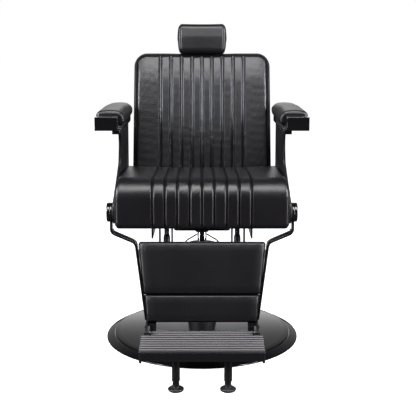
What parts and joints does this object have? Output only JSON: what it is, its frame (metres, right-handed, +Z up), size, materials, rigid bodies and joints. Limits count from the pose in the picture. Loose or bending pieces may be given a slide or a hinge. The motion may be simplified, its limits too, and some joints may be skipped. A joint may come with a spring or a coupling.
{
  "type": "hydraulic barber chair",
  "caption": "Barber chair on a round base with foot pump, swivel seat, arms, reclining back, sliding headrest and a leg rest with folding footplate.",
  "frame": {"origin": "centre of the base's flat underside, on the floor, on the pump's axis", "axes": "+Z up, the sitter faces -Y, +X is the sitter's left"},
  "size_m": [0.68, 0.9017, 1.0938],
  "materials": {
    "gloss_black": "gloss black stoved paint",
    "satin_black": "satin black paint",
    "bare_steel": "bare drawn steel",
    "iron_plate": "cast weight plate, bare",
    "chrome": "polished chrome",
    "upholstery": "black grained leather, half gloss",
    "plywood": "raw plywood",
    "black_rubber": "matt black moulded rubber",
    "ribbed_metal": "dark ribbed extrusion"
  },
  "bodies": {
    "base": {"base_plate": "iron_plate", "base_cover": "gloss_black", "pump_housing": "satin_black", "flange_bolts": "bare_steel", "pump_cap": "satin_black", "lock_bail": "satin_black", "pedal_bracket": "satin_black", "pedal_pin": "bare_steel"},
    "pedal": {"pedal_lever": "satin_black", "pedal_tread": "black_rubber"},
    "piston": {"piston_rod": "chrome"},
    "seat": {"seat_socket": "satin_black", "mount_plate": "satin_black", "seat_subframe": "satin_black", "seat_board": "plywood", "seat_cushion": "upholstery", "cheek_plate_left": "satin_black", "cheek_plate_right": "satin_black", "strut_bracket_left": "satin_black", "strut_bracket_right": "satin_black", "side_plate_left": "satin_black", "side_plate_right": "satin_black", "arm_rail_left": "gloss_black", "arm_rail_right": "gloss_black", "arm_pad_left": "upholstery", "arm_pad_right": "upholstery", "hub_bolt_left": "gloss_black", "hub_bolt_right": "gloss_black"},
    "lever": {"recline_lever": "satin_black", "lever_grip": "black_rubber"},
    "strut_rods": {"strut_rod_left": "bare_steel", "strut_rod_right": "bare_steel"},
    "strut_tubes": {"strut_tube_left": "satin_black", "strut_tube_right": "satin_black"},
    "back": {"recline_shaft": "bare_steel", "back_arm_left": "satin_black", "back_arm_right": "satin_black", "back_cushion": "upholstery", "back_board": "plywood", "back_panel": "upholstery", "headrest_socket": "satin_black"},
    "knob": {"clamp_knob": "black_rubber"},
    "headrest": {"headrest_bar": "chrome", "headrest_board": "plywood", "headrest_pad": "upholstery"},
    "legrest": {"leg_bar_left": "gloss_black", "leg_bar_right": "gloss_black", "foot_ear_left": "satin_black", "foot_ear_right": "satin_black", "calf_pad_upper": "upholstery", "calf_pad_lower": "upholstery", "calf_board": "satin_black", "leg_cross_tube": "satin_black"},
    "footrest": {"foot_plate": "gloss_black", "foot_tread": "ribbed_metal", "floor_leg_left": "satin_black", "floor_leg_right": "satin_black", "leg_glide_left": "black_rubber", "leg_glide_right": "black_rubber"}
  },
  "joints": [
    {"name": "lift", "type": "slide", "parent": "base", "child": "piston", "axis": [0, 0, 1], "range_m": [0, 0.15]},
    {"name": "swivel", "type": "hinge", "parent": "piston", "child": "seat", "pos_m": [0, 0, 0.4], "axis": [0, 0, 1], "continuous": true},
    {"name": "pedal_press", "type": "hinge", "parent": "base", "child": "pedal", "pos_m": [0, 0.092, 0.115], "axis": [-1, 0, 0], "range_deg": [0, 20], "stiffness_Nm_per_rad": 10, "springref_deg": -28.65},
    {"name": "recline", "type": "hinge", "parent": "seat", "child": "back", "pos_m": [0, 0.185, 0.5], "axis": [-1, 0, 0], "range_deg": [0, 45]},
    {"name": "legrest_swing", "type": "hinge", "parent": "seat", "child": "legrest", "pos_m": [0, -0.25, 0.499], "axis": [-1, 0, 0], "range_deg": [0, 60.5]},
    {"name": "strut_swing", "type": "hinge", "parent": "seat", "child": "strut_rods", "pos_m": [0, -0.209, 0.456], "axis": [-1, 0, 0], "range_deg": [0, 62.5]},
    {"name": "strut_extend", "type": "slide", "parent": "strut_rods", "child": "strut_tubes", "axis": [0, -0.2332, -0.9724], "range_m": [0, 0.06]},
    {"name": "footrest_fold", "type": "hinge", "parent": "legrest", "child": "footrest", "pos_m": [0, -0.392, 0.141], "axis": [-1, 0, 0], "range_deg": [0, 80]},
    {"name": "headrest_slide", "type": "slide", "parent": "back", "child": "headrest", "axis": [0, 0.2079, 0.9781], "range_m": [0, 0.1]},
    {"name": "knob_turn", "type": "hinge", "parent": "back", "child": "knob", "pos_m": [0, 0.35141, 0.8981], "axis": [0, 0.9781, -0.2079], "range_deg": [0, 330]},
    {"name": "lever_lift", "type": "hinge", "parent": "seat", "child": "lever", "pos_m": [-0.29, 0.02, 0.48], "axis": [1, 0, 0], "range_deg": [0, 25], "stiffness_Nm_per_rad": 2, "springref_deg": -28.65}
  ],
  "couplings": [
    {"joint": "legrest_swing", "follows": "recline", "ratio": 1.3333},
    {"joint": "strut_swing", "follows": "recline", "ratio": 1.3767},
    {"joint": "strut_extend", "follows": "recline", "m_per_rad": 0.07533}
  ]
}
